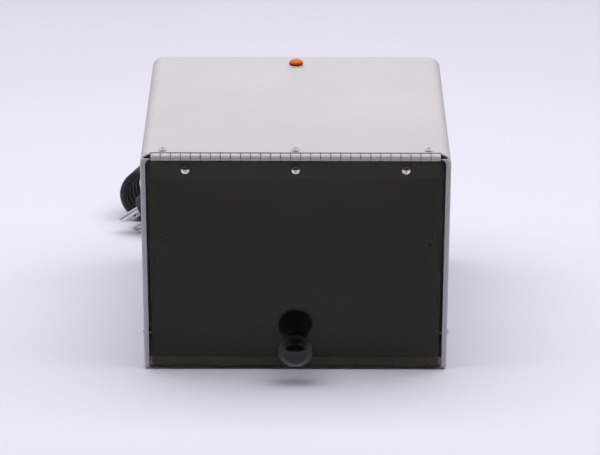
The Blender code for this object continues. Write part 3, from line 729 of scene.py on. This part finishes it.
def hank_point(turns):
    """A point on the winding, a number of turns on from the top of its right-hand fold.

    A turn is the top run, the left fold, the bottom run and the right fold.
    """
    fold = math.pi * HANK_RADIUS
    around = 2 * (HANK_RUN + fold)
    along = (turns % 1) * around
    back = (HANK_TURNS - turns) * CORD_D
    side = 1 if along < HANK_RUN + fold else -1
    along -= 0 if side == 1 else HANK_RUN + fold
    if along < HANK_RUN:
        part = along / HANK_RUN
        x = HANK_RUN / 2 - side * (part - 0.5) * HANK_RUN
        z = side * (HANK_RADIUS - HANK_WAIST * math.sin(math.pi * part) ** 2)
    else:
        angle = (along - HANK_RUN) / HANK_RADIUS
        x = (0 if side == 1 else HANK_RUN) - side * HANK_RADIUS * math.sin(angle)
        z = side * HANK_RADIUS * math.cos(angle)
    x += HANK_SLANT * (back + CORD_D / 2)
    return HANK_LEFT + Vector((x, back, z))


def tail_points():
    """From the last fold of the hank, over its front layer to the plug."""
    y, out = HANK_LEFT.y, -PLUG_AIM.normalized()
    return [
        Vector((-0.0425, y - 0.0028, 0.0519)),
        Vector((-0.0490, y - 0.0068, 0.0552)),
        Vector((-0.0570, y - 0.0126, 0.0573)),
        Vector((-0.0655, y - 0.0180, 0.0570)),
        Vector((-0.0735, y - 0.0212, 0.0542)),
        plug_tail() + out * 0.009,
        plug_tail() + out * GAP,
    ]


def make_cord(looks):
    per_turn, unwound = 28, 0.036
    last = round((HANK_TURNS - unwound) * per_turn)
    winding = [hank_point(i / per_turn) for i in range(1, last + 1)]
    route = smooth_route(lead_points() + winding + tail_points(), CORD_D * 0.55)
    curve = bpy.data.curves.new("Cord", "CURVE")
    curve.dimensions = "3D"
    curve.bevel_depth = CORD_D / 2
    curve.bevel_resolution = 5
    curve.use_fill_caps = True
    spline = curve.splines.new("POLY")
    spline.points.add(len(route) - 1)
    for point, place in zip(spline.points, route):
        point.co = (*place, 1)
    spline.use_smooth = True
    cord = bpy.data.objects.new("Cord", curve)
    bpy.context.collection.objects.link(cord)
    finish_piece(cord, looks, "black_rubber", "cabinet", "cord_lead", "cord_hank", "cord_tail")
    return cord


def make_strain_relief(looks):
    """A flange against the panel, and a ribbed sleeve that tapers along the cord."""
    root, root_end, flange_r, ease = 0.0056, -0.007, 0.0080, 0.0006
    flange = [(0.0059, 0), *arc((flange_r - ease, 0.0006), ease, -90, 0, 3)]
    flange += arc((flange_r - ease, 0.0016), ease, 0, 90, 3)
    ribs, start, groove = 6, 0.0050, 0.0007
    pitch = (RELIEF_LENGTH - start - 0.002) / ribs
    sleeve = [(root, 0.0030)]
    for i in range(ribs):
        z = start + i * pitch
        radius = 0.0054 - 0.0012 * z / RELIEF_LENGTH
        sleeve += [(radius, z), (radius - groove, z + pitch * 0.15)]
        sleeve += [(radius - groove, z + pitch * 0.4), (radius - 0.00005, z + pitch * 0.55)]
    end = [(0.0042, RELIEF_LENGTH - 0.0005), (0.0038, RELIEF_LENGTH), (0, RELIEF_LENGTH)]
    bm = bmesh.new()
    turn(bm, [(0, root_end), (root, root_end), *flange, *sleeve, *end])
    at = (CORD_EXIT.x, PANEL_BACK, CORD_EXIT.z)
    relief = new_object("Strain_relief", new_mesh("Strain_relief", bm), at, facing((0, 1, 0)))
    shade(relief.data, 30)
    finish_piece(relief, looks, "black_plastic", "cabinet", "strain_relief")
    return relief


def plug_ring(half_x, half_y, z, power=0.7):
    """A rounded section of the plug's body."""
    ring = []
    for i in range(48):
        angle = math.tau * (i + 0.5) / 48
        c, s = math.cos(angle), math.sin(angle)
        u, v = math.copysign(abs(c) ** power, c), math.copysign(abs(s) ** power, s)
        ring.append((half_x * u, PLUG_CENTRE + half_y * v, z))
    return ring


def make_plug_body(looks):
    """A moulded grip: a rimmed face, a waist for the fingers and a ribbed tail."""
    shape = [
        (0.0110, 0.0125, 0.0000),
        (0.0121, 0.0136, -0.0008),
        (0.0125, 0.0140, -0.0025),
        (0.0125, 0.0140, -0.0075),
        (0.0119, 0.0131, -0.0100),
        (0.0112, 0.0121, -0.0160),
        (0.0105, 0.0112, -0.0220),
        (0.0083, 0.0088, -0.0280),
        (0.0062, 0.0063, -0.0330),
    ]
    sizes = smooth_route([Vector(size) for size in shape], 0.0007)
    rings = [plug_ring(*size) for size in sizes]
    ribs = 5
    for i in range(ribs):
        z = -0.0335 - i * 0.0028
        radius = 0.0058 - 0.00032 * i
        for offset, inset in ((0, 0.0009), (-0.0009, 0.0009), (-0.0011, 0), (-0.0024, 0)):
            rings.append(plug_ring(radius - inset, radius - inset, z + offset, 1.0))
    rings.append(plug_ring(0.0038, 0.0038, -PLUG_LENGTH, 1.0))
    bm = bmesh.new()
    loft(bm, rings)
    body = new_object("Plug_body", new_mesh("Plug_body", bm), PLUG_AT, plug_turn())
    shade(body.data, 38)
    finish_piece(body, looks, "black_plastic", "cabinet", "plug_body")
    return body


def make_plug_blade(looks, number, side):
    """A flat blade with chamfered corners and a hole near its tip."""
    half_w, half_t, length, chamfer = 0.00315, 0.00075, 0.0159, 0.0012
    outline = [(-half_w, GAP), (half_w, GAP), (half_w, length - chamfer)]
    outline += [(half_w - chamfer, length), (chamfer - half_w, length), (-half_w, length - chamfer)]
    turned = plug_turn()
    at = PLUG_AT + turned @ Vector((side * BLADE_SPREAD, 0, 0))
    bm = bmesh.new()
    prism(bm, outline, "X", -half_t, half_t)
    blade = new_object(f"Plug_blade_{number}", new_mesh("Plug_blade", bm), at, turned)
    hole_r, hole_z, past = 0.0019, 0.0117, 0.003
    bm = bmesh.new()
    turn(bm, [(0, past), (hole_r, past), (hole_r, -past), (0, -past)], 28)
    hole = at + turned @ Vector((0, 0, hole_z))
    cut(blade, new_object("Blade_drill", new_mesh("Drill", bm), hole, turned @ facing((1, 0, 0))))
    bevel(blade, 0.0002, 2, 30)
    apply_modifiers(blade)
    node = f"plug_blade_{number}"
    finish_piece(blade, looks, "nickel_plate", "cabinet", node, look="dull_nickel")
    return blade


def make_ground_pin(looks):
    radius, length = 0.0024, 0.0214
    tip = [(r, h) for h, r in arc((length - radius, 0), radius, 90, 0, 10)]
    bm = bmesh.new()
    turn(bm, [(0, GAP), (radius, GAP), *tip[:-1], (0, length)], 32)
    turned = plug_turn()
    at = PLUG_AT + turned @ Vector((0, PIN_SPREAD, 0))
    pin = new_object("Plug_ground_pin", new_mesh("Plug_ground_pin", bm), at, turned)
    shade(pin.data)
    finish_piece(pin, looks, "nickel_plate", "cabinet", "plug_ground_pin", look="dull_nickel")
    return pin


def make_plug_pins(looks):
    blades = [make_plug_blade(looks, number, side) for number, side in ((1, -1), (2, 1))]
    return [*blades, make_ground_pin(looks)]


# CAD nodes that keep their shape


def dress_nodes(looks):
    """The CAD nodes that no piece replaces: eased edges, and the material of their slot."""
    slots = {entry["node"]: entry["material_slot"] for entry in frame["record"]["subparts"]}
    for name, node in frame["nodes"].items():
        if node.hide_render:
            continue
        node.data.materials.clear()
        # The hinge pin gets the dark steel that paints shade into the slits between the knuckles,
        # not its slot's material.
        node.data.materials.append(looks["pin_painted_shade" if name == "hinge_pin" else slots[name]])
        weld = node.modifiers.new("Weld", "WELD")
        weld.merge_threshold = 1e-6
        bevel(node, 0.00015)


# Stage


def make_floor():
    look = Look("Floor_paper", (0.80, 0.78, 0.90), 0.9)
    look.colour(look.noise(3, 2), (0.765, 0.745, 0.860), (0.785, 0.765, 0.880))
    look.bump(look.noise(900, 2), 0.00005, 0.2)
    bm, half = bmesh.new(), 6
    corners = [(-half, -half), (half, -half), (half, half), (-half, half)]
    bm.faces.new([bm.verts.new((x, y, 0)) for x, y in corners])
    floor = new_object("Floor", new_mesh("Floor", bm))
    floor.data.materials.append(look.material)


def smooth_step(tree, value, low, high):
    """A smooth step from 0 to 1 as the value goes from low to high."""
    step = tree.nodes.new("ShaderNodeMapRange")
    step.interpolation_type = "SMOOTHSTEP"
    step.inputs["From Min"].default_value = low
    step.inputs["From Max"].default_value = high
    tree.links.new(value, step.inputs["Value"])
    return step.outputs["Result"]


def make_room():
    """A room that reflections show pale overhead, behind and below, and dark above the camera.

    Matt surfaces get only a dim, even light from it.
    """
    world = bpy.data.worlds.new("Room")
    world.use_nodes = True
    tree = world.node_tree
    place = tree.nodes.new("ShaderNodeTexCoord")
    split = tree.nodes.new("ShaderNodeSeparateXYZ")
    tree.links.new(place.outputs["Generated"], split.inputs["Vector"])
    pale = tree.nodes.new("ShaderNodeMath")
    pale.operation = "MAXIMUM"
    tree.links.new(smooth_step(tree, split.outputs["Y"], -0.36, 0.0), pale.inputs[0])
    tree.links.new(smooth_step(tree, split.outputs["Z"], 0.06, -0.04), pale.inputs[1])
    seen = tree.nodes.new("ShaderNodeMapRange")
    seen.inputs["To Min"].default_value = 0.02
    seen.inputs["To Max"].default_value = 0.75
    tree.links.new(pale.outputs["Value"], seen.inputs["Value"])
    ray = tree.nodes.new("ShaderNodeLightPath")
    strength = tree.nodes.new("ShaderNodeMix")
    strength.inputs["B"].default_value = 0.06
    tree.links.new(ray.outputs["Is Diffuse Ray"], strength.inputs["Factor"])
    tree.links.new(seen.outputs["Result"], strength.inputs["A"])
    room = tree.nodes["Background"]
    room.inputs["Color"].default_value = (0.93, 0.92, 1.0, 1)
    tree.links.new(strength.outputs["Result"], room.inputs["Strength"])
    bpy.context.scene.world = world


def area_light(name, size, energy, location, aim):
    area = bpy.data.lights.new(name, "AREA")
    area.shape, area.size, area.size_y = "RECTANGLE", *size
    area.energy = energy
    light = bpy.data.objects.new(name, area)
    turned = facing(Vector(location) - Vector(aim))
    light.matrix_world = Matrix.Translation(location) @ turned.to_4x4()
    bpy.context.collection.objects.link(light)
    return light


def make_lights():
    """A broad soft light overhead, kept out of reflections, and a strip kept for reflections."""
    above = Vector((0.04, 0.12, 1.60))
    overhead = area_light("Overhead", (3.2, 1.2), 45, above, (above.x, above.y, 0))
    overhead.visible_glossy = False
    strip = area_light("Strip", (4.4, 0.10), 0.8, (0, FRONT - 0.88, 1.95), (0, FRONT, 0.03))
    strip.visible_diffuse = False


def make_camera():
    """A long lens in front of the door, looking down at it."""
    data = bpy.data.cameras.new("Camera")
    data.sensor_width = 36
    data.lens = 168.7
    camera = bpy.data.objects.new("Camera", data)
    camera.location = (0.0036, FRONT - 1.907, 0.9859)
    pitch, pan, roll = math.radians(24.449), math.radians(0.008), math.radians(0.114)
    aimed = Euler((math.pi / 2 - pitch, 0, pan)).to_matrix()
    camera.rotation_euler = (aimed @ Matrix.Rotation(roll, 3, "Z")).to_euler()
    bpy.context.collection.objects.link(camera)
    bpy.context.scene.camera = camera


make_camera()
looks = make_looks()
cord = make_cord(looks)
on_cord = [make_strain_relief(looks), make_plug_body(looks), *make_plug_pins(looks)]
make_shell(looks)
make_hinge(looks)
make_screws(looks)
make_knob(looks)
make_pilot_lamp(looks)
dress_nodes(looks)
make_floor()
make_room()
make_lights()
bpy.context.scene.view_settings.view_transform = "Standard"
